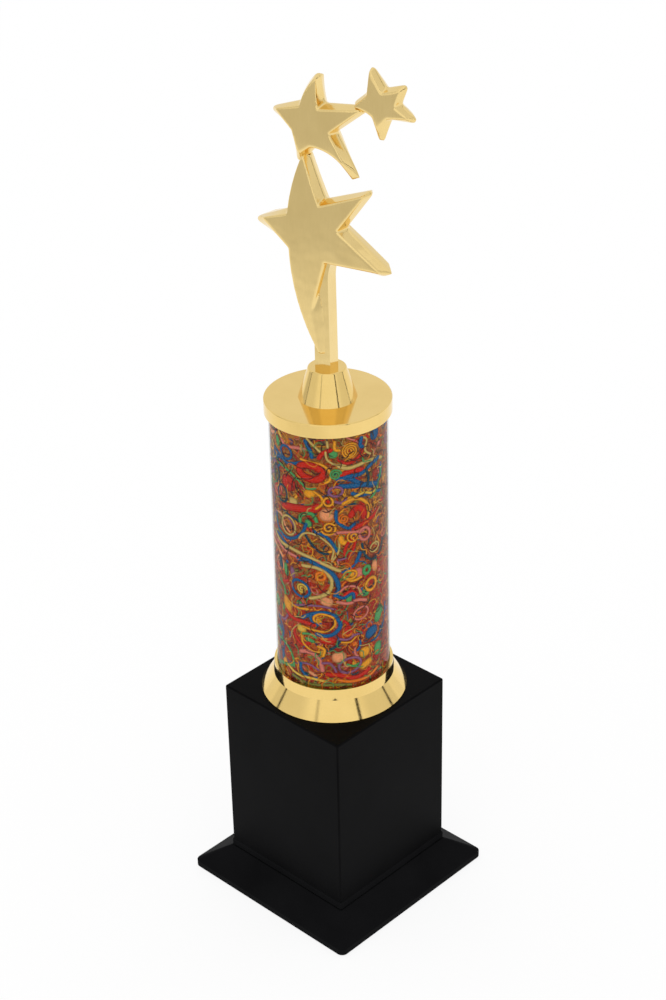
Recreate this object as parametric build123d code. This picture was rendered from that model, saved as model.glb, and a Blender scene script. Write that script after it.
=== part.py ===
from build123d import *
import os
from math import cos, radians, sin

# Column trophy: a weighted black plinth and block, a clear column over a swirl-patterned film,
# gold end cups, and a figure of three stars that screws onto the end of the tie rod.
# Millimetres, +Z up, origin at the centre of the plane that the feet stand on.

# ---- driving dimensions -------------------------------------------------------------------
# plinth (the sloping skirt under the block)
PLINTH_HALF = 60.5
PLINTH_BOTTOM = 1.0
PLINTH_EDGE_TOP = 4.6
PLINTH_CORNER_R = 3.8
MITRE_R = 0.9
SLOPE_TOP_HALF = 44.6
SLOPE_TOP = 15.0
BEAD_HALF = 44.3
GROOVE_HALF = 43.2
GROOVE_HEIGHT = 0.8
PLINTH_TOP = 19.85
RIM_INNER_HALF = 54.4
RIM_DEPTH = 4.0
PLINTH_ROOF = 3.0
LIP_HEIGHT = 2.5
LIP_WALL = 2.0

# block
BLOCK_HALF = 43.83
BLOCK_TOP = 129.67
BLOCK_WALL = 3.0
BLOCK_ROOF = 4.0
BLOCK_EDGE_R = 1.0
BOSS_LENGTH = 12.0
BOSS_R = 8.0

# underside
COVER_THICKNESS = 3.0
COVER_BOTTOM = 2.0
COVER_CLEARANCE = 0.2
FOOT_R = 6.0
FOOT_PITCH = 44.0
POST_R = 4.0
POST_PITCH = 36.0
SCREW_R = 1.6
SCREW_HEAD_R = 3.2
SCREW_LENGTH = 11.0
PILOT_SPARE = 1.0
PILOT_GAP = 0.02

# quarter-inch tie rod, nuts and washers
ROD_R = 3.175
ROD_BOTTOM = 8.0
ROD_END_GAP = 0.1
ROD_HOLE_R = 3.4
NUT_ACROSS_FLATS = 11.11
FULL_NUT = 5.56
JAM_NUT = 3.97
WASHER_R = 8.0
WASHER_THICKNESS = 1.2

# ballast
BALLAST_HALF = 32.0
BALLAST_HEIGHT = 24.0
BALLAST_CORNER_R = 3.0

# column
COLUMN_R = 31.75
TUBE_WALL = 0.5
FILM_THICKNESS = 0.35
CORE_WALL = 1.5
LAYER_GAP = 0.05
PLUG_THICKNESS = 8.0
TUBE_BOTTOM = 137.0
TUBE_TOP = 309.0

# lower cup (gold collar)
CUP_RIM_R = 40.97
CUP_RIM_HEIGHT = 0.9
CUP_NECK_FOOT_R = 34.0
CUP_NECK_TOP_R = 33.4
CUP_NECK_BOTTOM = 140.56
CUP_TOP = 147.07
CUP_WALL = 1.7
CUP_WEB = 2.5

# lid (gold cap)
LID_R = 33.97
LID_BOTTOM = 303.75
LID_TOP = 311.59
LID_TOP_EDGE_R = 0.6
LID_SKIRT_EDGE_R = 0.3

# figure cone and threaded insert
CONE_BASE_R = 15.63
CONE_TOP_R = 10.03
CONE_TOP = 328.95
CONE_WALL = 1.8
CONE_LIP_R = 1.0
CONE_ROOM = 5.7
INSERT_R = 4.8
INSERT_BOTTOM = 317.6
INSERT_LENGTH = 7.4
RUNNING_GAP = 0.05
SOCKET_R = 2.5
SOCKET_DEPTH = 3.0

# star figure: (u, height) points in the figure's own plane, height measured from the cone top.
# A plain point is a straight edge's end, and a pair is an arc's middle and end.
FIGURE_TURN = 15.0
LARGE_HALF_THICKNESS = 7.0
LARGE_FACE = [
    (-9.1, 114.5), (-7.9, 114.5), [(-3.7, 101.5), (0.5, 90.6)], (24.8, 99.7), (25.3, 98.7),
    (10.6, 78.9), (33.8, 61.7), (33.2, 60.8), (3.2, 60.9), (-4.9, 32.5), (-0.7, 8.8), (-1.9, 9.0),
    [(-12.2, 34.2), (-17.2, 65.3)], (-31.4, 78.6), (-31.1, 79.5), (-17.7, 83.4),
    [(-14.9, 98.0), (-9.1, 114.5)],
]
LARGE_MIDDLE = [
    (-9.7, 118.6), (-7.5, 118.6), [(-1.9, 102.1), (1.7, 93.1)], (26.7, 101.6), (28.2, 99.4),
    (13.4, 79.3), (39.2, 59.0), (34.1, 56.7), (4.7, 58.9), (-2.9, 32.4), (0.4, 8.4), (-2.6, 8.4),
    [(-14.2, 33.8), (-19.1, 64.4)], (-39.2, 74.0), (-38.9, 76.6), (-19.4, 84.9),
    [(-16.8, 98.4), (-9.7, 118.6)],
]
# facet from the tail's face down to the stem's face: (height, edge u, edge depth, foot u, foot depth)
TAIL_FACET = [
    (8.8, -0.7, 7.0, 2.4, 5.0),
    (32.5, -4.9, 7.0, 2.6, 3.9),
    (44.0, -1.6, 4.2, 2.6, 3.9),
]
TAIL_FACET_INNER = 3.4
TAIL_FACET_OVERLAP = 0.5
MIDDLE_HALF_THICKNESS = 6.0
MIDDLE_FACE = [
    (-0.9, 155.6), (-0.1, 155.5), [(-0.3, 147.5), (0.7, 140.6)], (22.3, 142.9), (22.5, 141.9),
    (6.6, 129.1), (13.5, 115.1), (12.6, 114.6), [(4.8, 119.4), (-3.9, 120.8)],
    (-9.8, 116.9), (-11.1, 117.3), (-14.0, 127.8), (-22.9, 136.8), (-22.6, 137.6),
    (-9.2, 140.8), [(-6.3, 148.4), (-0.9, 155.6)],
]
MIDDLE_MIDDLE = [
    (-2.1, 157.2), (0.3, 157.3), [(1.5, 148.6), (2.5, 142.8)], (25.0, 144.8), (26.0, 141.6),
    (9.2, 128.8), (21.8, 106.6), (16.4, 104.4), [(4.6, 116.9), (-3.3, 118.6)],
    (-10.6, 109.9), (-14.4, 110.0), (-16.2, 127.0), (-27.9, 134.4), (-27.3, 136.9),
    (-11.2, 142.4), [(-8.2, 149.3), (-2.1, 157.2)],
]
SMALL_HALF_THICKNESS = 5.0
SMALL_FACE = [
    (28.2, 162.5), (29.0, 162.4), (35.4, 153.3), (44.0, 155.7), (44.4, 154.9), (42.0, 147.1),
    (48.3, 143.0), (47.9, 142.2), (38.2, 141.1), (32.8, 135.7), (31.9, 135.9), (30.3, 140.6),
    [(25.7, 143.0), (20.4, 143.7)], (20.4, 144.5), (27.4, 150.9),
]
SMALL_MIDDLE = [
    (27.5, 164.4), (29.7, 164.4), (36.1, 155.3), (46.7, 158.3), (47.8, 156.3), (44.3, 147.9),
    (52.6, 141.7), (51.6, 139.2), (38.9, 139.3), (35.0, 127.5), (31.4, 127.5), (28.9, 139.0),
    [(24.2, 141.3), (18.4, 142.2)], (18.4, 145.8), (25.5, 151.7),
]
STEM_HALF_DEPTH = 4.3
STEM_LEFT = -4.7
STEM_RIGHT_FOOT = 4.3
STEM_RIGHT_WAIST = 3.9
STEM_RIGHT_HEAD = 6.7
STEM_WAIST = 50.0
STEM_HEAD = 62.0
PEG_GAP = 0.05
PIN_R = 0.8
PIN_HALF_LENGTH = 2.5
LOWER_PIN = (-8.4, 112.5)
LOWER_PIN_LEAN = -50.0
UPPER_PIN = (25.7, 144.2)
UPPER_PIN_LEAN = 12.0

# ---- derived values -----------------------------------------------------------------------
TUBE_BORE_R = COLUMN_R - TUBE_WALL
FILM_R = TUBE_BORE_R - LAYER_GAP
CORE_R = FILM_R - FILM_THICKNESS - LAYER_GAP
PLUG_R = CORE_R - CORE_WALL - LAYER_GAP
INSERT_TOP = INSERT_BOTTOM + INSERT_LENGTH
ROD_TOP = INSERT_TOP - ROD_END_GAP
RIM_TOP = PLINTH_BOTTOM + RIM_DEPTH
ROOF_UNDERSIDE = PLINTH_TOP - PLINTH_ROOF
LIP_HALF = BLOCK_HALF - BLOCK_WALL - COVER_CLEARANCE
turn = radians(FIGURE_TURN)
ACROSS = (cos(turn), sin(turn), 0)
FORWARD = (sin(turn), -cos(turn), 0)
FIGURE_PLANE = Plane(origin=(0, 0, CONE_TOP), x_dir=ACROSS, z_dir=FORWARD)


# ---- helpers ------------------------------------------------------------------------------
def save(name, shape):
    """Write one sub-part's STEP file."""
    export_step(shape, f"parts/{name}.step")


def square(half, z, radius=0.0):
    """A flat square face of a half-width at a height, with rounded corners if asked."""
    face = Rectangle(2 * half, 2 * half) if radius == 0 else RectangleRounded(2 * half, 2 * half, radius)
    return Pos(0, 0, z) * face


def square_block(half, bottom, top, radius=0.0):
    """A square prism between two heights."""
    return extrude(square(half, bottom, radius), top - bottom)


def disc(radius, bottom, top, x=0.0, y=0.0):
    """An upright cylinder between two heights."""
    return Pos(x, y, bottom) * extrude(Circle(radius), top - bottom)


def ring(outer, inner, bottom, top):
    """An upright round tube between two heights."""
    return disc(outer, bottom, top) - disc(inner, bottom, top)


def turned(points):
    """A solid of revolution about Z from (radius, height) points."""
    return revolve(make_face(Plane.XZ * Polyline(points, close=True)), Axis.Z)


def at_corners(pitch, make):
    """One copy of a solid at each of the four corners of a square."""
    return [make(x, y) for x in (-pitch, pitch) for y in (-pitch, pitch)]


def joined(solid, extras):
    """A solid fused with every solid of a list."""
    for extra in extras:
        solid = solid + extra
    return solid


def cut(solid, tools):
    """A solid less every solid of a list."""
    for tool in tools:
        solid = solid - tool
    return solid


def nut(bottom, height):
    """A hexagon nut on the tie rod."""
    blank = Pos(0, 0, bottom) * extrude(RegularPolygon(NUT_ACROSS_FLATS / 2, 6, major_radius=False), height)
    return blank - disc(ROD_R, bottom, bottom + height)


def washer(bottom):
    """A flat washer on the tie rod."""
    return ring(WASHER_R, ROD_HOLE_R, bottom, bottom + WASHER_THICKNESS)


# ---- base ---------------------------------------------------------------------------------
def base_plinth():
    """Moulded skirt: thick rim, sloping top, bead under the block, roof, lip and screw posts."""
    skirt = square_block(PLINTH_HALF, PLINTH_BOTTOM, PLINTH_EDGE_TOP, PLINTH_CORNER_R)
    slope = loft([
        square(PLINTH_HALF, PLINTH_EDGE_TOP, PLINTH_CORNER_R),
        square(SLOPE_TOP_HALF, SLOPE_TOP, MITRE_R),
    ])
    groove = square_block(GROOVE_HALF, SLOPE_TOP, SLOPE_TOP + GROOVE_HEIGHT)
    bead = square_block(BEAD_HALF, SLOPE_TOP + GROOVE_HEIGHT, PLINTH_TOP)
    bead = fillet(bead.edges().filter_by(Axis.Z), BLOCK_EDGE_R)
    bead = fillet(bead.faces().sort_by(Axis.Z)[-1].edges(), BLOCK_EDGE_R)
    lip = square_block(LIP_HALF, PLINTH_TOP, PLINTH_TOP + LIP_HEIGHT)
    lip -= square_block(LIP_HALF - LIP_WALL, PLINTH_TOP, PLINTH_TOP + LIP_HEIGHT)
    outside = joined(skirt, [slope, groove, bead, lip])

    slope_run = (PLINTH_HALF - SLOPE_TOP_HALF) / (SLOPE_TOP - PLINTH_EDGE_TOP)
    inner_half = BEAD_HALF - PLINTH_ROOF
    inner_top = RIM_TOP + (RIM_INNER_HALF - inner_half) / slope_run
    hollow = square_block(RIM_INNER_HALF, PLINTH_BOTTOM, RIM_TOP)
    hollow += loft([square(RIM_INNER_HALF, RIM_TOP), square(inner_half, inner_top)])
    hollow += square_block(inner_half, inner_top, ROOF_UNDERSIDE)

    posts = at_corners(POST_PITCH, lambda x, y: disc(POST_R, RIM_TOP, ROOF_UNDERSIDE, x, y))
    pilot_top = COVER_BOTTOM + SCREW_LENGTH + PILOT_SPARE
    pilots = at_corners(POST_PITCH, lambda x, y: disc(SCREW_R + PILOT_GAP, RIM_TOP, pilot_top, x, y))
    body = joined(outside - hollow, posts)
    return cut(body, pilots + [disc(ROD_HOLE_R, ROOF_UNDERSIDE, PLINTH_TOP)])


def base_block():
    """Square box, open below, with a boss round the tie rod."""
    outside = square_block(BLOCK_HALF, PLINTH_TOP, BLOCK_TOP)
    outside = fillet(outside.edges().filter_by(Axis.Z), BLOCK_EDGE_R)
    outside = fillet(outside.faces().sort_by(Axis.Z)[-1].edges(), BLOCK_EDGE_R)
    hollow = square_block(BLOCK_HALF - BLOCK_WALL, PLINTH_TOP, BLOCK_TOP - BLOCK_ROOF)
    roof_underside = BLOCK_TOP - BLOCK_ROOF
    boss = disc(BOSS_R, roof_underside - BOSS_LENGTH, roof_underside)
    return (outside - hollow) + boss - disc(ROD_HOLE_R, roof_underside - BOSS_LENGTH, BLOCK_TOP)


def ballast_block():
    """Cast weight that sits on the plinth's roof."""
    weight = square_block(BALLAST_HALF, PLINTH_TOP, PLINTH_TOP + BALLAST_HEIGHT, BALLAST_CORNER_R)
    return weight - disc(ROD_HOLE_R, PLINTH_TOP, PLINTH_TOP + BALLAST_HEIGHT)


def cover_screw(x, y):
    """Countersunk screw up through the cover into a post."""
    head = Pos(x, y, COVER_BOTTOM) * revolve(make_face(Plane.XZ * Polyline(
        (0, 0), (SCREW_HEAD_R, 0), (SCREW_R, SCREW_HEAD_R - SCREW_R), (0, SCREW_HEAD_R - SCREW_R),
        close=True)), Axis.Z)
    return head + disc(SCREW_R, COVER_BOTTOM, COVER_BOTTOM + SCREW_LENGTH, x, y)


def bottom_cover():
    """Fibreboard sheet inside the plinth's rim, countersunk for its screws."""
    sheet = square_block(RIM_INNER_HALF - COVER_CLEARANCE, COVER_BOTTOM, COVER_BOTTOM + COVER_THICKNESS)
    return cut(sheet, at_corners(POST_PITCH, cover_screw))


def rubber_feet():
    """Four stick-on pads under the cover."""
    return at_corners(FOOT_PITCH, lambda x, y: disc(FOOT_R, 0, COVER_BOTTOM, x, y))


# ---- column -------------------------------------------------------------------------------
def lower_cup():
    """Gold collar: a conical skirt, a drafted neck round the tube and a web that the tube stands on."""
    outside = turned([
        (0, BLOCK_TOP), (CUP_RIM_R, BLOCK_TOP), (CUP_RIM_R, BLOCK_TOP + CUP_RIM_HEIGHT),
        (CUP_NECK_FOOT_R, CUP_NECK_BOTTOM), (CUP_NECK_TOP_R, CUP_TOP), (0, CUP_TOP)])
    web_bottom = TUBE_BOTTOM - CUP_WEB
    skirt_run = (CUP_RIM_R - CUP_NECK_FOOT_R) / (CUP_NECK_BOTTOM - BLOCK_TOP - CUP_RIM_HEIGHT)
    hollow_r = CUP_RIM_R - CUP_WALL
    hollow = turned([
        (0, BLOCK_TOP), (hollow_r, BLOCK_TOP), (hollow_r, BLOCK_TOP + CUP_RIM_HEIGHT / 2),
        (hollow_r - skirt_run * (web_bottom - BLOCK_TOP - CUP_RIM_HEIGHT / 2), web_bottom),
        (0, web_bottom)])
    seat = disc(COLUMN_R + LAYER_GAP, TUBE_BOTTOM, CUP_TOP)
    return cut(outside, [hollow, seat, disc(ROD_HOLE_R, web_bottom, TUBE_BOTTOM)])


def tube_plug(bottom):
    """Moulded disc that centres the core tube on the tie rod."""
    return ring(PLUG_R, ROD_HOLE_R, bottom, bottom + PLUG_THICKNESS)


def column_lid():
    """Gold cap over the tube's top end."""
    cap = disc(LID_R, LID_BOTTOM, LID_TOP)
    cap = fillet(cap.edges().group_by(Axis.Z)[-1], LID_TOP_EDGE_R)
    cap = fillet(cap.edges().group_by(Axis.Z)[0], LID_SKIRT_EDGE_R)
    return cut(cap, [disc(COLUMN_R + LAYER_GAP, LID_BOTTOM, TUBE_TOP), disc(ROD_HOLE_R, TUBE_TOP, LID_TOP)])


# ---- figure -------------------------------------------------------------------------------
def figure_cone():
    """Hollow gold cone, with a boss for the insert and a socket for the stem's peg."""
    outside = turned([(0, LID_TOP), (CONE_BASE_R, LID_TOP), (CONE_TOP_R, CONE_TOP), (0, CONE_TOP)])
    outside = fillet(outside.edges().group_by(Axis.Z)[-1], CONE_LIP_R)
    run = (CONE_BASE_R - CONE_TOP_R) / (CONE_TOP - LID_TOP)
    room_r = CONE_BASE_R - CONE_WALL
    room = turned([
        (0, LID_TOP), (room_r, LID_TOP), (room_r - run * CONE_ROOM, LID_TOP + CONE_ROOM),
        (0, LID_TOP + CONE_ROOM)])
    insert_bore = disc(INSERT_R + RUNNING_GAP, LID_TOP + CONE_ROOM, INSERT_TOP + RUNNING_GAP)
    return cut(outside, [room, insert_bore, disc(SOCKET_R, CONE_TOP - SOCKET_DEPTH, CONE_TOP)])


def outline(points):
    """A closed wire in the figure's plane from straight edges and arcs."""
    edges = []
    start = points[0]
    for item in points[1:]:
        if isinstance(item, list):
            edges.append(ThreePointArc(start, item[0], item[1]))
            start = item[1]
        else:
            edges.append(Line(start, item))
            start = item
    if start != points[0]:
        edges.append(Line(start, points[0]))
    return Wire(edges)


def star(face, middle, half_thickness):
    """A star drafted both ways: a narrower face at the front and the back, widest between them."""
    layers = [(face, half_thickness), (middle, 0), (face, -half_thickness)]
    sections = [FIGURE_PLANE * Pos(0, 0, w) * outline(points) for points, w in layers]
    return loft([make_face(section) for section in sections], ruled=True)


def tail_facet(side):
    """Wedge that carries the tail's face down to the stem's face. Side is 1 in front and -1 behind."""
    inner = side * TAIL_FACET_INNER
    sections = []
    for height, edge, edge_depth, foot, foot_depth in TAIL_FACET:
        inside = edge - TAIL_FACET_OVERLAP
        corners = Polyline(
            (inside, height, inner), (inside, height, side * edge_depth), (edge, height, side * edge_depth),
            (foot, height, side * foot_depth), (foot, height, inner), close=True)
        sections.append(FIGURE_PLANE * make_face(corners))
    return loft(sections, ruled=True)


def figure_stem():
    """Square stem with a slight taper, flared where it enters the large star, and a peg below."""
    left = Line((STEM_LEFT, STEM_HEAD), (STEM_LEFT, 0))
    foot = Line((STEM_LEFT, 0), (STEM_RIGHT_FOOT, 0))
    right = Line((STEM_RIGHT_FOOT, 0), (STEM_RIGHT_WAIST, STEM_WAIST))
    flare = TangentArc((STEM_RIGHT_WAIST, STEM_WAIST), (STEM_RIGHT_HEAD, STEM_HEAD), tangent=(0, 1))
    head = Line((STEM_RIGHT_HEAD, STEM_HEAD), (STEM_LEFT, STEM_HEAD))
    side = make_face(Wire([left, foot, right, flare, head]))
    bar = extrude(FIGURE_PLANE * side, STEM_HALF_DEPTH, both=True)
    peg = disc(SOCKET_R - PEG_GAP, CONE_TOP - SOCKET_DEPTH + PEG_GAP, CONE_TOP)
    return bar + peg


def star_pin(centre, lean):
    """Short dowel in the figure's plane across the joint between two stars."""
    u, height = centre
    along_figure = Rot(0, 90, 0)
    place = FIGURE_PLANE * Pos(u, height, 0) * Rot(0, 0, lean) * along_figure
    return place * Cylinder(PIN_R, 2 * PIN_HALF_LENGTH)


# ---- assembly -----------------------------------------------------------------------------
os.makedirs("parts", exist_ok=True)

save("base_plinth", base_plinth())
save("base_block", base_block())
save("ballast_block", ballast_block())
save("bottom_cover", bottom_cover())
save("cover_screws", Compound(children=at_corners(POST_PITCH, cover_screw)))
save("rubber_feet", Compound(children=rubber_feet()))
save("tie_rod", disc(ROD_R, ROD_BOTTOM, ROD_TOP))
save("bottom_washer", washer(ROOF_UNDERSIDE - WASHER_THICKNESS))
save("bottom_nut", nut(ROOF_UNDERSIDE - WASHER_THICKNESS - FULL_NUT, FULL_NUT))
save("lower_cup", lower_cup())
save("tube_lower_plug", tube_plug(TUBE_BOTTOM))
save("tube_upper_plug", tube_plug(TUBE_TOP - PLUG_THICKNESS))
save("column_tube", ring(COLUMN_R, TUBE_BORE_R, TUBE_BOTTOM, TUBE_TOP))
save("column_print", ring(FILM_R, FILM_R - FILM_THICKNESS, TUBE_BOTTOM, TUBE_TOP))
save("column_core", ring(CORE_R, CORE_R - CORE_WALL, TUBE_BOTTOM, TUBE_TOP))
save("column_lid", column_lid())
save("lid_washer", washer(LID_TOP))
save("lid_nut", nut(LID_TOP + WASHER_THICKNESS, JAM_NUT))
save("figure_insert", ring(INSERT_R, ROD_R + RUNNING_GAP, INSERT_BOTTOM, INSERT_TOP))
save("figure_cone", figure_cone())

stem = figure_stem()
lower_pin = star_pin(LOWER_PIN, LOWER_PIN_LEAN)
upper_pin = star_pin(UPPER_PIN, UPPER_PIN_LEAN)
middle_star = star(MIDDLE_FACE, MIDDLE_MIDDLE, MIDDLE_HALF_THICKNESS)
large_body = joined(star(LARGE_FACE, LARGE_MIDDLE, LARGE_HALF_THICKNESS), [tail_facet(1), tail_facet(-1)])
large_star = large_body - stem - middle_star - lower_pin
small_star = star(SMALL_FACE, SMALL_MIDDLE, SMALL_HALF_THICKNESS) - middle_star - upper_pin
save("figure_stem", stem)
save("large_star", large_star)
save("middle_star", middle_star - lower_pin - upper_pin)
save("small_star", small_star)
save("star_pin_lower", lower_pin)
save("star_pin_upper", upper_pin)
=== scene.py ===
import random
from math import ceil, cos, pi, radians, sin, sqrt

import bpy
from mathutils import Matrix, Vector


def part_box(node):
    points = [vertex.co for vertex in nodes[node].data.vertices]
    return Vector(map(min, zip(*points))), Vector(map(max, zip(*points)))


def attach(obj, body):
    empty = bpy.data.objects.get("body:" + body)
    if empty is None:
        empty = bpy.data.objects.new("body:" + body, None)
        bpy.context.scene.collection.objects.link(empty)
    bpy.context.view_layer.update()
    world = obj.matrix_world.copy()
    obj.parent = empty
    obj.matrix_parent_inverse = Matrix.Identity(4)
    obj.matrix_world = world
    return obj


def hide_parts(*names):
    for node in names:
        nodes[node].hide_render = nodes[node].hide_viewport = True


# Column trophy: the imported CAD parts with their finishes, polished stars in place of the plain ones,
# and the swirl print inside the clear column. Metres, in the CAD frame, +Z up.

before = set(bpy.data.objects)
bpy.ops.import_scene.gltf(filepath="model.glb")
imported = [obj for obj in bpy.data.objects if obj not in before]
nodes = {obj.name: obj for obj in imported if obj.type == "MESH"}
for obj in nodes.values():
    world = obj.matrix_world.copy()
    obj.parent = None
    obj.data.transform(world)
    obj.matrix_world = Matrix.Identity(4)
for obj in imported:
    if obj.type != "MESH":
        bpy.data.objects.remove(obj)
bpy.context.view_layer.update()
MM = 0.001

# ---- camera and studio --------------------------------------------------------------------
VIEW_AZIMUTH = radians(44.27)
CAMERA_REACH = 0.98078
CAMERA_HEIGHT = 0.81117
AIM_SIDE = 0.00154
AIM_HEIGHT = 0.24837
CAMERA_ROLL = radians(-1.27)
FOCAL_LENGTH = 75.53
SENSOR = 36.0

ROOM_LIGHT = 1.0
# The flanks' light, and where they start and end, in degrees from the front.
FLANK_LIGHT = 0.82
FLANK_START = 38.0
FLANK_END = 62.0
FLANK_BACK = 96.0
FLANK_BACK_SOFT = 15.0
FAR_WALL_LIGHT = 0.88
FLOOR_HALF = 6.0
# The floor's plain colour, then its painted glow: the floor emits light of its own though it is no lamp.
FLOOR_PAINT = 0.16
FLOOR_PAINTED_GLOW = 0.86
# Dark gaps between the light panels: azimuth from the camera in degrees, half width in degrees, depth.
LIGHT_GAPS = [(40.0, 1.9, 0.95), (94.0, 1.3, 0.9), (-94.0, 1.3, 0.9), (-30.0, 2.0, 0.35)]
GAP_SOFT = 1.0
GAP_TOP = radians(45)
GAP_BOTTOM = radians(-5)
# A painted pool of light on the floor: its centre, where its painted falloff towards the front starts and
# ends, and the painted glow left at its edge.
PAINTED_POOL_CENTRE = (0.10, 0.10)
PAINTED_POOL_NEAR = 0.45
PAINTED_POOL_FAR = 1.20
PAINTED_POOL_EDGE_GLOW = 0.64

# ---- stars --------------------------------------------------------------------------------
STAR_VOXEL = 0.40 * MM
STAR_SMOOTHING = 24
STAR_CROWN = 1.6 * MM
STAR_BACK_CROWN = 2.2 * MM
RIDGE_BAND = 3.0 * MM
RIDGE_SMOOTHING = 60
STAR_TURN = radians(15)
THROUGH = Vector((sin(STAR_TURN), -cos(STAR_TURN), 0.0))

# ---- swirl film ---------------------------------------------------------------------------
FILM_FIRST_R = 30.88 * MM
FILM_LAYER = 0.0013 * MM
FILM_SEGMENTS = 360
CURVE_STEP = 0.38
FILM_SEED = 11
STROKE_GAIN = 1.25
GROUND_RED_TOP = 0.20
GROUND_GOLD_BOTTOM = 0.27


class Graph:
    """Short hand for building one node tree."""

    def __init__(self, tree):
        self.tree = tree
        tree.nodes.clear()

    def add(self, kind, inputs=None, **settings):
        """A new node. An input is a plain value or another node's output socket."""
        node = self.tree.nodes.new(kind)
        for name, value in settings.items():
            setattr(node, name, value)
        for key, value in (inputs or {}).items():
            if isinstance(value, bpy.types.NodeSocket):
                self.tree.links.new(value, node.inputs[key])
            else:
                node.inputs[key].default_value = value
        return node

    def math(self, operation, a, b=0.0, clamp=False):
        """The output of one Math node."""
        return self.add("ShaderNodeMath", {0: a, 1: b}, operation=operation, use_clamp=clamp).outputs[0]

    def fade(self, value, start, end, at_start, at_end):
        """A smooth change of a value's range onto another."""
        node = self.add(
            "ShaderNodeMapRange",
            {0: value, 1: start, 2: end, 3: at_start, 4: at_end},
            interpolation_type="SMOOTHSTEP",
        )
        return node.outputs[0]

    def noise(self, vector, scale, detail=3.0, distortion=0.0):
        """The value of a noise texture."""
        inputs = {"Vector": vector, "Scale": scale, "Detail": detail, "Distortion": distortion}
        return self.add("ShaderNodeTexNoise", inputs).outputs[0]

    def ramp(self, value, stops):
        """The colour of a ramp with (position, colour) stops."""
        node = self.add("ShaderNodeValToRGB", {0: value})
        while len(node.color_ramp.elements) < len(stops):
            node.color_ramp.elements.new(0.5)
        for element, (position, colour) in zip(node.color_ramp.elements, stops):
            element.position = position
            element.color = (*colour, 1.0)
        return node.outputs[0]

    def bump(self, height, strength, distance):
        """The normal of a bump node."""
        inputs = {"Height": height, "Strength": strength, "Distance": distance}
        return self.add("ShaderNodeBump", inputs).outputs[0]


def linear(red, green, blue):
    """A colour given as sRGB 0 to 255, as linear light."""
    channels = [c / 255 for c in (red, green, blue)]
    return tuple(c / 12.92 if c <= 0.04045 else ((c + 0.055) / 1.055) ** 2.4 for c in channels)


def new_material(name):
    """An empty node material, its graph and the object coordinates."""
    material = bpy.data.materials.new(name)
    material.use_nodes = True
    graph = Graph(material.node_tree)
    place = graph.add("ShaderNodeTexCoord").outputs["Object"]
    return material, graph, place


def output(graph, shader):
    """Send a shader to the material's output."""
    graph.add("ShaderNodeOutputMaterial", {"Surface": shader})


# ---- materials ----------------------------------------------------------------------------
def surface(name, dark, light, grain, roughness, metallic=0.0, specular=0.5, relief=0.02 * MM):
    """A solid finish whose colour, roughness and relief vary with one grain size in metres."""
    material, graph, place = new_material(name)
    coarse = graph.noise(place, 0.2 / grain)
    fine = graph.noise(place, 1.0 / grain, detail=4.0)
    mixed = graph.math("ADD", graph.math("MULTIPLY", coarse, 0.5), graph.math("MULTIPLY", fine, 0.5))
    shader = graph.add("ShaderNodeBsdfPrincipled", {
        "Base Color": graph.ramp(mixed, [(0.35, dark), (0.65, light)]),
        "Roughness": graph.fade(fine, 0.3, 0.7, roughness[0], roughness[1]),
        "Metallic": metallic,
        "Specular IOR Level": specular,
        "Normal": graph.bump(fine, 0.6, relief),
    })
    output(graph, shader.outputs[0])
    return material


def gold_metallised(name, dark, light, waviness):
    """Vacuum-metallised moulding: near-mirror gold with faint polish marks and moulding waves."""
    material, graph, place = new_material(name)
    wave = graph.noise(place, 60.0, detail=2.0)
    haze = graph.noise(place, 700.0, detail=4.0)
    marks = graph.add("ShaderNodeMapping", {"Vector": place, "Scale": (900.0, 900.0, 90.0)}).outputs[0]
    marks = graph.noise(marks, 2.0, detail=5.0)
    tone = graph.math("ADD", graph.math("MULTIPLY", wave, 0.6), graph.math("MULTIPLY", marks, 0.4))
    relief = graph.math("ADD", wave, graph.math("MULTIPLY", marks, 0.03))
    shader = graph.add("ShaderNodeBsdfPrincipled", {
        "Base Color": graph.ramp(tone, [(0.3, dark), (0.7, light)]),
        "Roughness": graph.fade(haze, 0.3, 0.7, 0.07, 0.12),
        "Metallic": 1.0,
        "Normal": graph.bump(relief, 0.5, waviness),
    })
    output(graph, shader.outputs[0])
    return material


COOL_TINT = 1.08


def black_plastic(name, dark, light, specular):
    """Moulded satin black with a fine spark texture."""
    material, graph, place = new_material(name)
    grain = graph.noise(place, 2600.0, detail=3.0)
    cloud = graph.noise(place, 35.0, detail=3.0)
    shader = graph.add("ShaderNodeBsdfPrincipled", {
        "Base Color": graph.ramp(cloud, [
            (0.3, (dark, dark, dark * COOL_TINT)),
            (0.7, (light, light, light * COOL_TINT)),
        ]),
        "Roughness": graph.fade(cloud, 0.3, 0.7, 0.36, 0.44),
        "Specular IOR Level": specular,
        "Normal": graph.bump(grain, 0.35, 0.02 * MM),
    })
    output(graph, shader.outputs[0])
    return material


def clear_acrylic():
    """Clear glossy tube wall: what lies behind shows, and the reflection grows towards the edges."""
    material, graph, place = new_material("clear_acrylic")
    smear = graph.noise(place, 45.0, detail=2.0)
    normal = graph.bump(smear, 0.3, 0.05 * MM)
    clear = graph.add("ShaderNodeBsdfTransparent", {"Color": (0.97, 0.97, 0.96, 1.0)})
    gloss = graph.add("ShaderNodeBsdfGlossy", {
        "Color": (0.65, 0.65, 0.64, 1.0), "Roughness": 0.03, "Normal": normal})
    facing = graph.add("ShaderNodeFresnel", {"IOR": 1.25, "Normal": normal}).outputs[0]
    outside = graph.math("SUBTRACT", 1.0, graph.add("ShaderNodeNewGeometry").outputs["Backfacing"])
    share = graph.math("MULTIPLY", facing, outside)
    mixed = graph.add("ShaderNodeMixShader", {0: share, 1: clear.outputs[0], 2: gloss.outputs[0]})
    output(graph, mixed.outputs[0])
    return material


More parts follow.
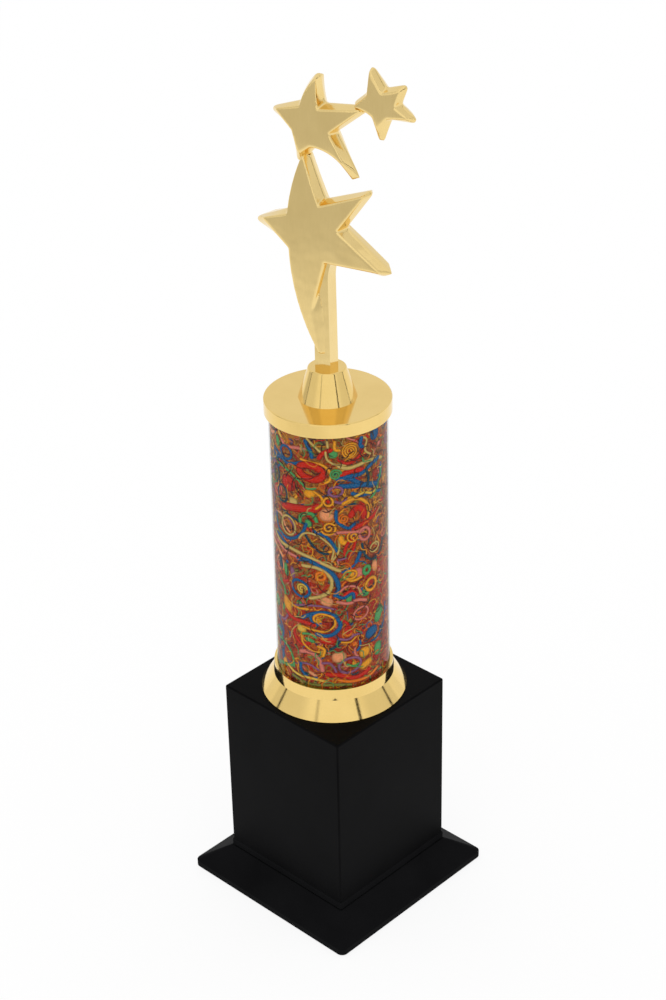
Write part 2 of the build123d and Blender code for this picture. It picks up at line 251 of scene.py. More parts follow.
def swirl_print():
    """Printed film: marbled ground, with each stroke's own colour where the mesh carries one."""
    material, graph, place = new_material("swirl_film")
    stroke = graph.add("ShaderNodeVertexColor", layer_name="ink")
    flow = graph.noise(place, 95.0, detail=4.0, distortion=2.2)
    golden = graph.ramp(flow, [
        (0.28, linear(52, 34, 22)),
        (0.40, linear(150, 92, 34)),
        (0.48, linear(104, 56, 26)),
        (0.55, linear(176, 122, 46)),
        (0.62, linear(140, 50, 26)),
        (0.72, linear(44, 60, 56)),
    ])
    reddish = graph.ramp(flow, [
        (0.28, linear(58, 26, 20)),
        (0.40, linear(168, 40, 16)),
        (0.48, linear(124, 40, 18)),
        (0.55, linear(176, 86, 22)),
        (0.62, linear(166, 34, 16)),
        (0.72, linear(62, 62, 34)),
    ])
    height = graph.add("ShaderNodeSeparateXYZ", {0: place}).outputs[2]
    upper = graph.fade(height, GROUND_RED_TOP, GROUND_GOLD_BOTTOM, 0.0, 1.0)
    ground = graph.add("ShaderNodeMix", {0: upper, 6: reddish, 7: golden}, data_type="RGBA").outputs[2]
    colour = graph.add("ShaderNodeMix", {
        0: stroke.outputs["Alpha"], 6: ground, 7: stroke.outputs["Color"]}, data_type="RGBA").outputs[2]
    speck = graph.noise(place, 1500.0, detail=3.0)
    value = graph.fade(speck, 0.3, 0.7, 0.82, 1.18)
    toned = graph.add("ShaderNodeHueSaturation", {"Color": colour, "Value": value}).outputs[0]
    shader = graph.add("ShaderNodeBsdfPrincipled", {
        "Base Color": toned,
        "Roughness": graph.fade(speck, 0.3, 0.7, 0.45, 0.6),
        "Specular IOR Level": 0.1,
    })
    output(graph, shader.outputs[0])
    return material


def paint(material, names):
    """Give CAD nodes a material."""
    for name in names:
        for slot in nodes[name].material_slots:
            slot.material = material


SHARP_EDGE = radians(30)


def soften_edges(name, width):
    """Round a CAD node's sharp edges where it is drawn."""
    bevel = nodes[name].modifiers.new("soft_edges", "BEVEL")
    bevel.width = width
    bevel.segments = 3
    bevel.limit_method = "ANGLE"
    bevel.angle_limit = SHARP_EDGE
    bevel.harden_normals = True


# ---- polished stars -----------------------------------------------------------------------
def polished_star(node, piece_name, material):
    """A star with rounded edges and gently crowned faces, from the CAD star."""
    mesh = nodes[node].data.copy()
    star = bpy.data.objects.new(piece_name, mesh)
    bpy.context.scene.collection.objects.link(star)
    remesh = star.modifiers.new("remesh", "REMESH")
    remesh.mode = "VOXEL"
    remesh.voxel_size = STAR_VOXEL
    smooth = star.modifiers.new("smooth", "SMOOTH")
    smooth.factor = 0.5
    smooth.iterations = STAR_SMOOTHING
    apply_modifiers(star)
    add_ridge_group(star)
    flatten = star.modifiers.new("flatten_ridge", "SMOOTH")
    flatten.vertex_group = "ridge"
    flatten.iterations = RIDGE_SMOOTHING
    apply_modifiers(star)
    rounded = star.data
    crown(rounded, node)
    for polygon in rounded.polygons:
        polygon.use_smooth = True
    rounded.materials.clear()
    rounded.materials.append(material)
    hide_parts(node)
    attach(star, "figure")
    return star


def apply_modifiers(piece):
    """Replace a piece's mesh with what its modifiers make of it."""
    bpy.context.view_layer.update()
    made = bpy.data.meshes.new_from_object(piece.evaluated_get(bpy.context.evaluated_depsgraph_get()))
    piece.modifiers.clear()
    piece.data = made


def add_ridge_group(star):
    """Weigh the vertices near the star's middle plane, where its two halves meet in a ridge."""
    group = star.vertex_groups.new(name="ridge")
    for vertex in star.data.vertices:
        weight = 1.0 - abs(vertex.co.dot(THROUGH)) / RIDGE_BAND
        if weight > 0:
            group.add([vertex.index], weight, "REPLACE")


def crown(mesh, node):
    """Thin the star away from its middle, so that its faces are domed and its points narrow backwards."""
    low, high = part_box(node)
    middle = (low + high) / 2
    reach = (high.z - low.z) / 2
    half = max(vertex.co.dot(THROUGH) for vertex in mesh.vertices)
    for vertex in mesh.vertices:
        depth = vertex.co.dot(THROUGH)
        away = vertex.co - middle
        away -= THROUGH * away.dot(THROUGH)
        most = STAR_CROWN if depth > 0 else STAR_BACK_CROWN
        thinning = most * min(1.5, (away.length / reach) ** 2)
        vertex.co -= THROUGH * (thinning * depth / half)


# ---- swirl print --------------------------------------------------------------------------
INKS = {
    "red": (190, 34, 16),
    "brick": (146, 42, 20),
    "dark": (62, 34, 30),
    "blue": (18, 86, 136),
    "teal": (22, 62, 78),
    "gold": (224, 150, 30),
    "yellow": (216, 176, 66),
    "tan": (196, 166, 92),
    "orange": (222, 112, 22),
    "pink": (206, 112, 98),
    "peach": (226, 146, 98),
    "green": (74, 150, 84),
    "olive": (120, 120, 50),
    "purple": (136, 84, 118),
}


def smooth_line(points, closed=False):
    """A Catmull-Rom curve through points, in steps of about CURVE_STEP."""
    count = len(points)
    spans = count if closed else count - 1
    line = []
    for i in range(spans):
        if closed:
            before, start, end, after = (Vector(points[(i + k) % count]) for k in (-1, 0, 1, 2))
        else:
            start = Vector(points[i])
            end = Vector(points[i + 1])
            before = Vector(points[i - 1]) if i > 0 else start * 2 - end
            after = Vector(points[i + 2]) if i + 2 < count else end * 2 - start
        steps = max(1, ceil((end - start).length / CURVE_STEP))
        for k in range(steps):
            t = k / steps
            line.append(0.5 * (
                2 * start + (end - before) * t
                + (2 * before - 5 * start + 4 * end - after) * t ** 2
                + (3 * start - before - 3 * end + after) * t ** 3))
    line.append(Vector(points[0]) if closed else Vector(points[-1]))
    return line


class Film:
    """Collects printed strokes on the film.

    A place is (mm round the film from the front, mm above the cup).
    """

    def __init__(self, bottom, top, origin):
        self.bottom = bottom
        self.top = top
        self.origin = origin
        self.places = []
        self.faces = []
        self.inks = []

    def point(self, across, up, level, ink, share):
        """Add one vertex at a level above the ground, with its ink brightened or dimmed."""
        radius = FILM_FIRST_R + level * FILM_LAYER
        angle = VIEW_AZIMUTH + across * MM / FILM_FIRST_R
        height = min(max(self.origin + up * MM, self.bottom), self.top)
        self.places.append((radius * sin(angle), -radius * cos(angle), height))
        self.inks.append((*(min(1.0, c * share) for c in ink), 1.0))
        return len(self.places) - 1

    def rows(self, rows):
        """Join rows of vertices with quads."""
        for lower, upper in zip(rows, rows[1:]):
            for k in range(len(lower) - 1):
                self.faces.append((lower[k], lower[k + 1], upper[k + 1], upper[k]))

    def ribbon(self, ink, width, points, level, closed=False, leaf=False):
        """A stroke with dark borders and a lighter middle, rounded or pointed at its ends."""
        colour = linear(*INKS[ink])
        line = smooth_line(points, closed)
        count = len(line)
        across = 2 * max(2, ceil(width / 1.2))
        rows = []
        for i, place in enumerate(line):
            along = line[min(i + 1, count - 1)] - line[max(i - 1, 0)]
            side = Vector((-along.y, along.x)).normalized()
            t = i / (count - 1)
            if closed:
                half = width / 2
            elif leaf:
                half = width / 2 * sin(pi * t) ** 0.8
            else:
                end = min(t, 1 - t) * (count - 1) * CURVE_STEP / (width / 2)
                half = width / 2 * sqrt(max(0.04, 1 - (1 - min(1.0, end)) ** 2))
            row = []
            for k in range(across + 1):
                share = 2 * k / across - 1
                tone = 1.12 - 0.86 * abs(share) ** 3
                spot = place + side * (half * share)
                row.append(self.point(spot.x, spot.y, level, colour, tone))
            rows.append(row)
        self.rows(rows)

    def oval(self, ink, width, centre, size, lean, level):
        """A ring of a stroke round an ellipse."""
        self.ribbon(ink, width, ellipse(centre, size, lean, 12), level, closed=True)

    def blob(self, ink, centre, size, lean, level, power=1.0):
        """A filled ellipse, or a rounded square with a lower power, darker at its border."""
        colour = linear(*INKS[ink])
        rings = max(2, ceil(max(size) / 0.55))
        count = max(12, ceil(2 * pi * max(size) / 0.5))
        turn = Matrix.Rotation(radians(lean), 2)
        rows = []
        for r in range(rings + 1):
            share = r / rings
            row = []
            for k in range(count + 1):
                angle = 2 * pi * k / count
                shape = Vector((signed_power(cos(angle), power), signed_power(sin(angle), power)))
                spot = turn @ Vector((shape.x * size[0], shape.y * size[1])) * share
                tone = 1.08 - 0.75 * share ** 5
                row.append(self.point(centre[0] + spot.x, centre[1] + spot.y, level, colour, tone))
            rows.append(row)
        self.rows(rows)

    def coil(self, ink, width, centre, size, turns, start, level):
        """A spiral stroke that winds in towards its centre."""
        count = ceil(turns * 10)
        points = []
        for k in range(count + 1):
            t = k / count
            reach = size * (1 - 0.9 * t)
            angle = radians(start) + 2 * pi * turns * t
            points.append((centre[0] + reach * cos(angle), centre[1] + reach * sin(angle)))
        self.ribbon(ink, width, points, level)


def signed_power(value, power):
    """A power that keeps its sign."""
    return (1 if value >= 0 else -1) * abs(value) ** power


def ellipse(centre, size, lean, count):
    """Points round a leaning ellipse."""
    turn = Matrix.Rotation(radians(lean), 2)
    points = []
    for k in range(count):
        angle = 2 * pi * k / count
        spot = turn @ Vector((size[0] * cos(angle), size[1] * sin(angle)))
        points.append((centre[0] + spot.x, centre[1] + spot.y))
    return points


# Main strokes on the front: ink, width, and the places that the stroke passes through.
FRONT_RIBBONS = [
    ("red", 4.0, [(-31, 109), (-22, 111), (-15, 112), (-9, 113), (-5, 116)]),
    ("red", 2.6, [(2, 132), (12, 135), (22, 133)]),
    ("tan", 1.2, [(-44, 148), (-38, 143), (-33, 141), (-27, 140)]),
    ("blue", 1.5, [(-37, 142), (-31, 140), (-25, 137), (-20, 138), (-13, 141)]),
    ("pink", 1.8, [(-29, 150), (-25, 147), (-17, 148), (-12, 148)]),
    ("blue", 1.9, [(-13, 154), (-10, 148), (-9, 143)]),
    ("tan", 1.2, [(-12, 155), (-9, 152), (-4, 147)]),
    ("tan", 1.2, [(-1, 154), (-1, 149), (-5, 146)]),
    ("gold", 1.6, [(3, 154), (3, 149), (6, 148)]),
    ("red", 2.2, [(-6, 143), (-3, 147), (2, 149)]),
    ("tan", 1.1, [(-2, 148), (-1, 143), (3, 140), (9, 139)]),
    ("red", 1.5, [(4, 143), (9, 140), (14, 141), (18, 145), (18, 150)]),
    ("tan", 1.1, [(17, 154), (21, 151), (20, 145), (24, 141)]),
    ("blue", 2.0, [(18, 154), (17, 149), (19, 147)]),
    ("tan", 1.9, [(4, 139), (10, 137), (20, 138), (28, 137), (34, 135)]),
    ("gold", 1.3, [(-16, 142), (-10, 141), (-4, 140), (0, 136), (0, 131), (-3, 129)]),
    ("green", 1.2, [(-35, 136), (-29, 134), (-22, 132), (-16, 128), (-12, 125), (-7, 126)]),
    ("blue", 2.2, [(3, 131), (10, 131), (17, 126), (26, 122), (32, 125), (32, 133)]),
    ("blue", 2.0, [(8, 132), (17, 132), (24, 135), (31, 137)]),
    ("blue", 2.4, [(4, 127), (12, 126), (22, 124), (30, 121)]),
    ("blue", 1.8, [(11, 122), (17, 119), (26, 118), (32, 116)]),
    ("teal", 1.4, [(20, 135), (22, 128), (21, 123)]),
    ("yellow", 1.3, [(12, 119), (19, 120), (24, 118), (30, 119)]),
    ("green", 1.3, [(33, 130), (31, 124), (27, 117), (23, 115)]),
    ("gold", 1.3, [(-9, 124), (-5, 121), (-4, 117), (-8, 113)]),
    ("purple", 1.4, [(2, 118), (6, 117), (9, 120)]),
    ("gold", 1.7, [(6, 116), (12, 118), (18, 116), (22, 110), (21, 103)]),
    ("teal", 1.1, [(7, 114), (12, 115), (16, 113)]),
    ("red", 3.4, [(10, 107), (14, 112), (18, 110), (19, 104)]),
    ("red", 2.4, [(11, 100), (17, 101), (24, 103), (30, 106)]),
    ("blue", 1.6, [(-36, 103), (-35, 95), (-29, 91), (-22, 92), (-16, 97), (-13, 104)]),
    ("teal", 1.2, [(-29, 107), (-22, 105), (-14, 103)]),
    ("green", 1.8, [(-17, 103), (-16, 108), (-10, 110), (-7, 105)]),
    ("purple", 1.0, [(-25, 104), (-21, 100), (-20, 95)]),
    ("blue", 1.6, [(3, 113), (3, 107), (6, 103), (10, 101), (14, 104)]),
    ("tan", 1.0, [(-18, 93), (-15, 97), (-10, 98), (-4, 95), (1, 89), (0, 82)]),
    ("blue", 1.6, [(-10, 100), (-3, 97), (1, 92), (3, 87)]),
    ("tan", 1.0, [(4, 96), (4, 88), (0, 81)]),
    ("teal", 1.2, [(-14, 97), (-11, 92), (-6, 87), (-1, 86)]),
    ("pink", 1.6, [(-1, 98), (5, 99), (12, 98), (19, 97)]),
    ("gold", 2.8, [(5, 97), (6, 93), (9, 92)]),
    ("purple", 1.1, [(13, 92), (12, 86), (8, 83), (3, 82)]),
    ("tan", 1.9, [(-40, 90), (-33, 86), (-21, 85), (-9, 82), (5, 75)]),
    ("pink", 1.6, [(-42, 88), (-34, 84), (-28, 82), (-17, 81), (-6, 80)]),
    ("blue", 2.2, [(-20, 80), (-13, 81), (-6, 78), (0, 74), (3, 68), (3, 63), (1, 59)]),
    ("tan", 1.8, [(-17, 77), (-8, 77), (-2, 73), (0, 68), (-2, 62), (-7, 59), (-13, 57)]),
    ("blue", 1.3, [(5, 74), (10, 76), (13, 78)]),
    ("blue", 2.0, [(13, 78), (15, 82), (16, 85)]),
    ("teal", 1.2, [(17, 90), (19, 82), (24, 77), (30, 79), (34, 86)]),
    ("gold", 1.5, [(6, 71), (11, 68), (17, 69)]),
    ("pink", 1.2, [(4, 62), (8, 65), (14, 63), (17, 57)]),
    ("red", 2.6, [(6, 59), (10, 61), (14, 58)]),
    ("blue", 1.6, [(2, 60), (6, 58), (11, 60), (12, 56)]),
    ("teal", 1.1, [(17, 57), (22, 60), (28, 62)]),
    ("pink", 1.8, [(2, 56), (9, 54), (14, 55), (20, 53)]),
    ("purple", 1.1, [(-24, 49), (-16, 52), (-6, 53), (2, 51)]),
    ("gold", 1.3, [(-28, 51), (-21, 49), (-13, 50)]),
    ("blue", 2.0, [(-18, 43), (-12, 47), (-5, 49), (1, 47), (4, 41), (1, 36), (-4, 34), (-10, 35)]),
    ("gold", 1.2, [
        (-18, 38), (-10, 37), (-4, 37), (1, 41), (0, 46), (-6, 48), (-10, 46), (-10, 43), (-6, 43)]),
    ("blue", 1.3, [(-12, 48), (-12, 43), (-9, 41), (-6, 42)]),
    ("red", 2.2, [(-30, 44), (-24, 41), (-16, 41), (-9, 40)]),
    ("red", 1.5, [(4, 45), (8, 41), (10, 35)]),
    ("purple", 1.2, [(3, 32), (8, 31), (12, 33), (17, 33)]),
    ("gold", 1.0, [(3, 30), (9, 29), (13, 32)]),
    ("teal", 1.3, [(4, 31), (1, 27), (-4, 24), (-6, 19)]),
    ("gold", 1.2, [(-18, 32), (-17, 27), (-11, 23), (-5, 24)]),
    ("gold", 1.6, [(-9, 27), (-5, 25), (-6, 20)]),
    ("green", 1.2, [(-18, 33), (-13, 34), (-9, 32)]),
    ("pink", 2.4, [(-20, 21), (-13, 22), (-8, 18), (-6, 10)]),
    ("purple", 1.1, [(-21, 13), (-14, 14), (-8, 11)]),
    ("purple", 1.2, [(-7, 16), (-2, 16), (1, 11), (0, 8)]),
    ("blue", 1.6, [(-19, 14), (-19, 9), (-14, 5), (-9, 6)]),
    ("green", 1.4, [(-36, 22), (-29, 20), (-25, 15), (-24, 8)]),
    ("green", 1.1, [(7, 15), (11, 13), (15, 14)]),
    ("pink", 1.2, [(12, 25), (12, 21), (14, 18)]),
    ("blue", 1.4, [(15, 29), (15, 25), (13, 22)]),
    ("blue", 1.3, [(36, 44), (35, 34), (28, 26), (22, 25)]),
    ("red", 2.6, [(-5, 9), (4, 8), (12, 5), (22, 8)]),
    ("orange", 1.8, [(2, 5), (10, 3), (20, 3), (28, 6)]),
    ("yellow", 1.5, [(-30, 8), (-22, 5), (-12, 5), (-4, 4)]),
    ("olive", 1.6, [(-26, 3), (-14, 1), (0, 2), (10, 1)]),
]
# Rings: ink, width, centre, half sizes, lean in degrees.
FRONT_OVALS = [
    ("blue", 1.2, (-25, 143), (4.0, 3.8), 0),
    ("teal", 1.2, (-34, 127), (2.6, 5.2), 0),
    ("red", 3.6, (-10, 135), (6.4, 4.0), -12),
    ("purple", 1.2, (3, 124), (3.6, 2.8), 0),
    ("gold", 1.1, (-1, 118), (2.4, 2.4), 0),
    ("tan", 1.1, (-25, 99), (5.0, 5.6), 0),
    ("teal", 1.2, (-29, 117), (4.0, 5.0), 0),
    ("pink", 1.6, (19, 95), (3.2, 3.8), 20),
    ("red", 1.7, (10, 89), (2.2, 5.4), -24),
    ("tan", 1.0, (26, 84), (3.4, 2.6), 0),
    ("green", 1.8, (20, 72), (2.0, 2.2), 0),
    ("orange", 1.6, (-6, 72), (2.4, 2.4), 0),
    ("gold", 1.7, (23, 62), (3.6, 3.8), 0),
    ("blue", 1.4, (-18, 62), (5.6, 4.8), -24),
    ("pink", 1.1, (16, 46), (4.6, 3.6), 20),
    ("purple", 1.3, (9, 14), (6.4, 4.6), 12),
    ("gold", 1.2, (10, 72), (3.6, 2.6), 0),
]
# Coils: ink, width, centre, size, turns, start in degrees.
FRONT_COILS = [
    ("gold", 1.0, (11, 147), 4.6, 3.2, 40),
    ("green", 1.1, (3, 134), 3.2, 2.2, 0),
    ("orange", 1.0, (7, 107), 3.0, 2.0, 90),
    ("gold", 1.3, (-1, 102), 4.4, 1.8, 200),
    ("yellow", 1.2, (-17, 62), 3.2, 2.0, 0),
    ("gold", 1.1, (12, 95), 3.6, 1.6, 120),
]
# Blobs: ink, centre, half sizes, lean in degrees, power (1 round, lower squarer).
FRONT_BLOBS = [
    ("green", (-32, 147), (1.8, 3.2), 10, 1.0),
    ("green", (2, 146), (2.5, 2.3), 0, 0.9),
    ("red", (-24, 125), (5.0, 5.0), 30, 0.9),
    ("gold", (-11, 122), (3.4, 2.6), 0, 1.0),
    ("gold", (9, 118), (3.4, 2.6), 0, 1.0),
    ("brick", (27, 128), (2.4, 3.8), -12, 1.0),
    ("blue", (27, 152), (3.4, 3.6), 0, 0.9),
    ("tan", (-21, 114), (2.8, 3.3), -8, 0.5),
    ("orange", (-2, 110), (5.0, 4.8), 0, 0.8),
    ("peach", (-2, 110), (4.0, 3.9), 0, 0.9),
    ("green", (-12, 104), (2.2, 2.6), 0, 1.0),
    ("red", (-1, 118), (1.2, 1.2), 0, 1.0),
    ("gold", (11, 72), (2.2, 1.4), 0, 1.0),
    ("pink", (15, 72), (2.8, 3.4), 20, 0.9),
    ("peach", (26, 72), (2.2, 3.6), 10, 0.8),
    ("green", (-28, 70), (2.0, 4.2), 8, 1.0),
    ("teal", (-33, 72), (2.0, 5.2), 6, 1.0),
    ("purple", (-23, 70), (1.7, 4.0), 6, 1.0),
    ("gold", (-28, 48), (3.2, 5.6), 20, 1.1),
    ("green", (-19, 51), (2.2, 3.2), 0, 1.0),
    ("peach", (-3, 56), (3.4, 2.8), -20, 0.6),
    ("gold", (-8, 44), (1.5, 1.3), 0, 1.0),
    ("yellow", (-18, 36), (3.0, 2.3), -8, 0.6),
    ("red", (-3, 31), (5.0, 2.8), 0, 1.0),
    ("orange", (-5, 32), (2.4, 1.2), 0, 1.0),
    ("orange", (8, 36), (3.2, 3.6), 0, 1.0),
    ("red", (8, 37), (2.0, 3.0), 0, 1.0),
    ("green", (-13, 30), (3.2, 1.3), -14, 1.0),
    ("peach", (3, 20), (4.2, 3.6), 0, 0.8),
    ("green", (29, 40), (3.4, 5.4), -24, 1.0),
    ("blue", (23, 31), (4.6, 3.6), 20, 0.9),
    ("gold", (18, 20), (3.6, 3.4), 0, 0.9),
    ("green", (28, 18), (3.2, 4.4), 0, 0.8),
    ("green", (9, 57), (1.8, 3.0), 0, 1.0),
    ("green", (19, 58), (3.0, 2.4), 0, 1.0),
    ("peach", (-12, 8), (3.0, 1.1), -24, 0.8),
    ("gold", (19, 12), (4.6, 2.2), 24, 0.7),
]

# ground texture of small strokes, and large strokes round the back, in mm on the film
GROUND_CELL = 6.7
GROUND_ROWS = 24
GROUND_TURNS = 28
GROUND_PER_CELL = 2
FINE_PER_CELL = 3
OVER_PER_CELL = 1
BACK_CELL = 10.0
BACK_PER_CELL = 2
BACK_SHARE = 4
FILM_BOTTOM_UP = -6.0
BACK_START = 42.0
PRINT_HEIGHT = 160.0
# first level of each group of strokes, counted in FILM_LAYER steps outwards
GROUND_LEVEL = 2
FINE_LEVEL = 20
BACK_LEVEL = 48
FRONT_LEVEL = 80
SMALL_INKS = [
    "gold", "gold", "orange", "red", "red", "red", "brick", "green", "blue", "teal", "pink", "olive"]
FINE_INKS = ["gold", "orange", "orange", "dark", "dark", "olive", "red", "brick", "red"]
OVER_INKS = ["gold", "dark", "tan", "orange", "dark", "green"]
LARGE_INKS = [
    "blue", "blue", "gold", "tan", "red", "red", "green", "pink", "purple", "orange", "peach", "yellow"]


def wander(rng, centre, reach, turn):
    """Four points of a gently curved stroke about a centre."""
    heading = rng.uniform(0, 2 * pi)
    spot = Vector(centre) - Vector((cos(heading), sin(heading))) * reach / 2
    points = [tuple(spot)]
    for _ in range(3):
        heading += rng.uniform(-turn, turn)
        spot = spot + Vector((cos(heading), sin(heading))) * reach / 3
        points.append(tuple(spot))
    return points


def small_stroke(film, rng, centre, level):
    """One of the small shapes that fill the ground."""
    kind = rng.random()
    ink = rng.choice(SMALL_INKS)
    if kind < 0.45:
        film.ribbon(ink, rng.uniform(0.5, 1.1), wander(rng, centre, rng.uniform(4, 9), 1.0), level)
    elif kind < 0.62:
        size = (rng.uniform(1.2, 2.6), rng.uniform(1.0, 2.2))
        film.oval(ink, rng.uniform(0.5, 0.8), centre, size, rng.uniform(0, 180), level)
    elif kind < 0.75:
        film.coil(ink, 0.55, centre, rng.uniform(1.4, 2.4), 1.8, rng.uniform(0, 360), level)
    elif kind < 0.9:
        film.ribbon(ink, rng.uniform(1.2, 2.4), wander(rng, centre, rng.uniform(3, 6), 0.5), level, leaf=True)
    else:
        size = (rng.uniform(0.8, 1.8), rng.uniform(0.8, 1.8))
        film.blob(ink, centre, size, rng.uniform(0, 180), level, rng.choice([0.6, 1.0]))


def large_stroke(film, rng, centre, level):
    """One of the large shapes that lie over the ground round the back."""
    kind = rng.random()
    ink = rng.choice(LARGE_INKS)
    if kind < 0.5:
        film.ribbon(ink, rng.uniform(1.6, 2.8), wander(rng, centre, rng.uniform(14, 24), 1.3), level)
    elif kind < 0.68:
        size = (rng.uniform(2.6, 5.0), rng.uniform(2.2, 4.2))
        film.oval(ink, rng.uniform(1.0, 1.7), centre, size, rng.uniform(0, 180), level)
    elif kind < 0.82:
        film.coil(ink, rng.uniform(0.9, 1.5), centre, rng.uniform(3.0, 5.5), 1.9, rng.uniform(0, 360), level)
    elif kind < 0.9:
        width = rng.uniform(2.5, 4.0)
        film.ribbon(ink, width, wander(rng, centre, rng.uniform(7, 10), 0.4), level, leaf=True)
    else:
        size = (rng.uniform(2.0, 3.8), rng.uniform(2.0, 3.6))
        film.blob(ink, centre, size, rng.uniform(0, 180), level, rng.choice([0.6, 0.9]))


def print_ground(film, rng, first_level):
    """Small strokes everywhere.

    Cells three apart share a level. Their strokes can only meet at the seam behind, where the
    columns don't divide by three.
    """
    around = 2 * pi * FILM_FIRST_R / MM
    for row in range(GROUND_ROWS):
        for column in range(GROUND_TURNS):
            group = (row % 3) * 3 + column % 3
            for extra in range(GROUND_PER_CELL):
                across = (column + rng.random()) * around / GROUND_TURNS - around / 2
                up = FILM_BOTTOM_UP + (row + rng.random()) * GROUND_CELL
                small_stroke(film, rng, (across, up), first_level + group * GROUND_PER_CELL + extra)


def print_strands(film, rng, first_level, per_cell, inks):
    """Fine lines everywhere, with the same sharing of levels as the ground."""
    around = 2 * pi * FILM_FIRST_R / MM
    for row in range(GROUND_ROWS):
        for column in range(GROUND_TURNS):
            group = (row % 3) * 3 + column % 3
            for extra in range(per_cell):
                across = (column + rng.random()) * around / GROUND_TURNS - around / 2
                up = FILM_BOTTOM_UP + (row + rng.random()) * GROUND_CELL
                points = wander(rng, (across, up), rng.uniform(5, 10), 1.2)
                ink = rng.choice(inks)
                width = rng.uniform(0.35, 0.7)
                film.ribbon(ink, width, points, first_level + group * per_cell + extra)


def print_front(film, first_level):
    """The main strokes that face the front."""
    level = first_level
    for ink, centre, size, lean, power in FRONT_BLOBS:
        film.blob(ink, centre, size, lean, level, power)
        level += 1
    for ink, width, points in FRONT_RIBBONS:
        film.ribbon(ink, width * STROKE_GAIN, points, level)
        level += 1
    for ink, width, centre, size, lean in FRONT_OVALS:
        film.oval(ink, width * STROKE_GAIN, centre, size, lean, level)
        level += 1
    for ink, width, centre, size, turns, start in FRONT_COILS:
        film.coil(ink, width, centre, size, turns, start, level)
        level += 1
    return level


def print_back(film, rng, first_level):
    """Large strokes round the rest of the film. Cells four apart share a level, since they can't meet."""
    around = 2 * pi * FILM_FIRST_R / MM
    width = around - 2 * BACK_START
    for row in range(ceil(PRINT_HEIGHT / BACK_CELL)):
        for column in range(ceil(width / BACK_CELL)):
            group = (row % BACK_SHARE) * BACK_SHARE + column % BACK_SHARE
            for extra in range(BACK_PER_CELL):
                across = BACK_START + (column + rng.random()) * BACK_CELL
                up = (row + rng.random()) * BACK_CELL
                large_stroke(film, rng, (across, up), first_level + group * BACK_PER_CELL + extra)


def swirl_film(material):
    """The printed film: a plain ground sleeve with every stroke laid on it."""
    low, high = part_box("column_print")
    film = Film(low.z, high.z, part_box("lower_cup")[1].z)
    sleeve = []
    for z in (low.z, high.z):
        row = []
        for k in range(FILM_SEGMENTS):
            angle = 2 * pi * k / FILM_SEGMENTS
            film.places.append((FILM_FIRST_R * cos(angle), FILM_FIRST_R * sin(angle), z))
            film.inks.append((0.0, 0.0, 0.0, 0.0))
            row.append(len(film.places) - 1)
        row.append(row[0])
        sleeve.append(row)
    film.rows(sleeve)
    rng = random.Random(FILM_SEED)
    print_ground(film, rng, GROUND_LEVEL)
    print_strands(film, rng, FINE_LEVEL, FINE_PER_CELL, FINE_INKS)
    print_back(film, rng, BACK_LEVEL)
    top = print_front(film, FRONT_LEVEL)
    print_strands(film, rng, top, OVER_PER_CELL, OVER_INKS)

    mesh = bpy.data.meshes.new("column_swirls")
    mesh.from_pydata(film.places, [], film.faces)
    inks = mesh.color_attributes.new("ink", "FLOAT_COLOR", "POINT")
    inks.data.foreach_set("color", [c for ink in film.inks for c in ink])
    mesh.materials.append(material)
    for polygon in mesh.polygons:
        polygon.use_smooth = True
    piece = bpy.data.objects.new("column_swirls", mesh)
    bpy.context.scene.collection.objects.link(piece)
    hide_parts("column_print")
    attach(piece, "trophy")
    return piece


# ---- studio -------------------------------------------------------------------------------
def add_camera():
    """A camera at the picture's viewpoint, with its small roll."""
    outward = Vector((sin(VIEW_AZIMUTH), -cos(VIEW_AZIMUTH), 0.0))
    sideways = Vector((cos(VIEW_AZIMUTH), sin(VIEW_AZIMUTH), 0.0))
    place = outward * CAMERA_REACH + Vector((0, 0, CAMERA_HEIGHT))
    aim = sideways * AIM_SIDE + Vector((0, 0, AIM_HEIGHT))
    forward = (aim - place).normalized()
    right = forward.cross(Vector((0, 0, 1))).normalized()
    up = right.cross(forward)
    x_axis = right * cos(CAMERA_ROLL) + up * sin(CAMERA_ROLL)
    y_axis = up * cos(CAMERA_ROLL) - right * sin(CAMERA_ROLL)
    lens = bpy.data.cameras.new("camera")
    lens.lens = FOCAL_LENGTH
    lens.sensor_width = SENSOR
    camera = bpy.data.objects.new("camera", lens)
    turn = Matrix((x_axis, y_axis, -forward)).transposed()
    camera.matrix_world = Matrix.Translation(place) @ turn.to_4x4()
    bpy.context.scene.collection.objects.link(camera)
    bpy.context.scene.camera = camera


